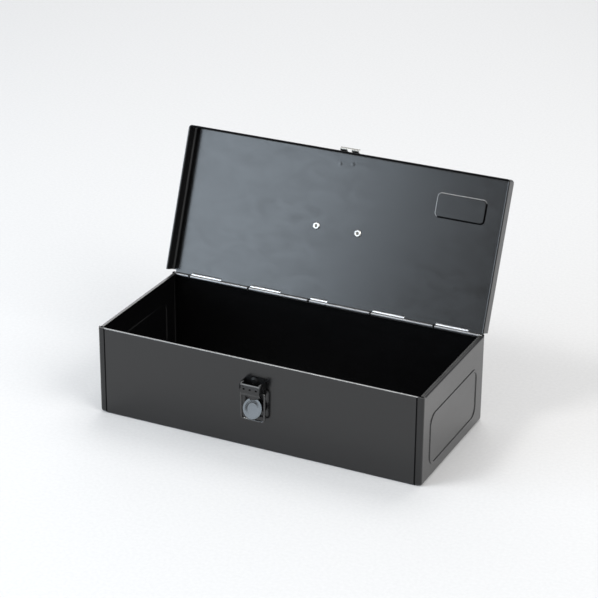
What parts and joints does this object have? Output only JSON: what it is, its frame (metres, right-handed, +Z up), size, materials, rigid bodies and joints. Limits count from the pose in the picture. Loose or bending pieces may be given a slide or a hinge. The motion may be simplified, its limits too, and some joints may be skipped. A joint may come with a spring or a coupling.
{
  "type": "steel tool box",
  "caption": "Black sheet-steel trunk tool box standing open, with a flat lid on a full-length hinge, a plated draw latch and a folding handle.",
  "frame": {"origin": "centre of the base's underside", "axes": "+X to the right along the length, +Y to the back where the hinge is, +Z up"},
  "size_m": [0.3352, 0.2172, 0.2286],
  "materials": {
    "body_paint": "semi-gloss",
    "lid_paint": "semi-gloss",
    "latch_paint": "gloss black",
    "plated_steel": "bright zinc or nickel plate",
    "handle_plating": "bright plate"
  },
  "bodies": {
    "box": {"body_wrapper": "body_paint", "left_end_cap": "body_paint", "right_end_cap": "body_paint", "hinge_body_leaf": "plated_steel", "hinge_pin": "plated_steel", "latch_base": "latch_paint", "latch_pin": "latch_paint", "upper_latch_rivet": "latch_paint", "lower_latch_rivet": "latch_paint"},
    "lid_body": {"lid": "lid_paint", "hinge_lid_leaf": "plated_steel", "lid_catch": "plated_steel", "handle_plate": "handle_plating", "left_handle_rivet": "plated_steel", "right_handle_rivet": "plated_steel"},
    "lever_body": {"latch_lever": "latch_paint"},
    "bail_body": {"latch_bail": "latch_paint"},
    "handle_body": {"carry_handle": "handle_plating"}
  },
  "joints": [
    {"name": "lid_hinge", "type": "hinge", "parent": "box", "child": "lid_body", "pos_m": [0, 0.0717, 0.0867], "axis": [1, 0, 0], "range_deg": [0, 111.2]},
    {"name": "latch_lever_hinge", "type": "hinge", "parent": "box", "child": "lever_body", "pos_m": [0, -0.081, 0.066], "axis": [-1, 0, 0], "range_deg": [0, 160]},
    {"name": "latch_bail_hinge", "type": "hinge", "parent": "lever_body", "child": "bail_body", "pos_m": [0, -0.0787, 0.06], "axis": [-1, 0, 0], "range_deg": [-6, 181.3]},
    {"name": "carry_handle_hinge", "type": "hinge", "parent": "lid_body", "child": "handle_body", "pos_m": [0, 0.10389, 0.15198], "axis": [1, 0, 0], "range_deg": [-23, 160.5]}
  ]
}
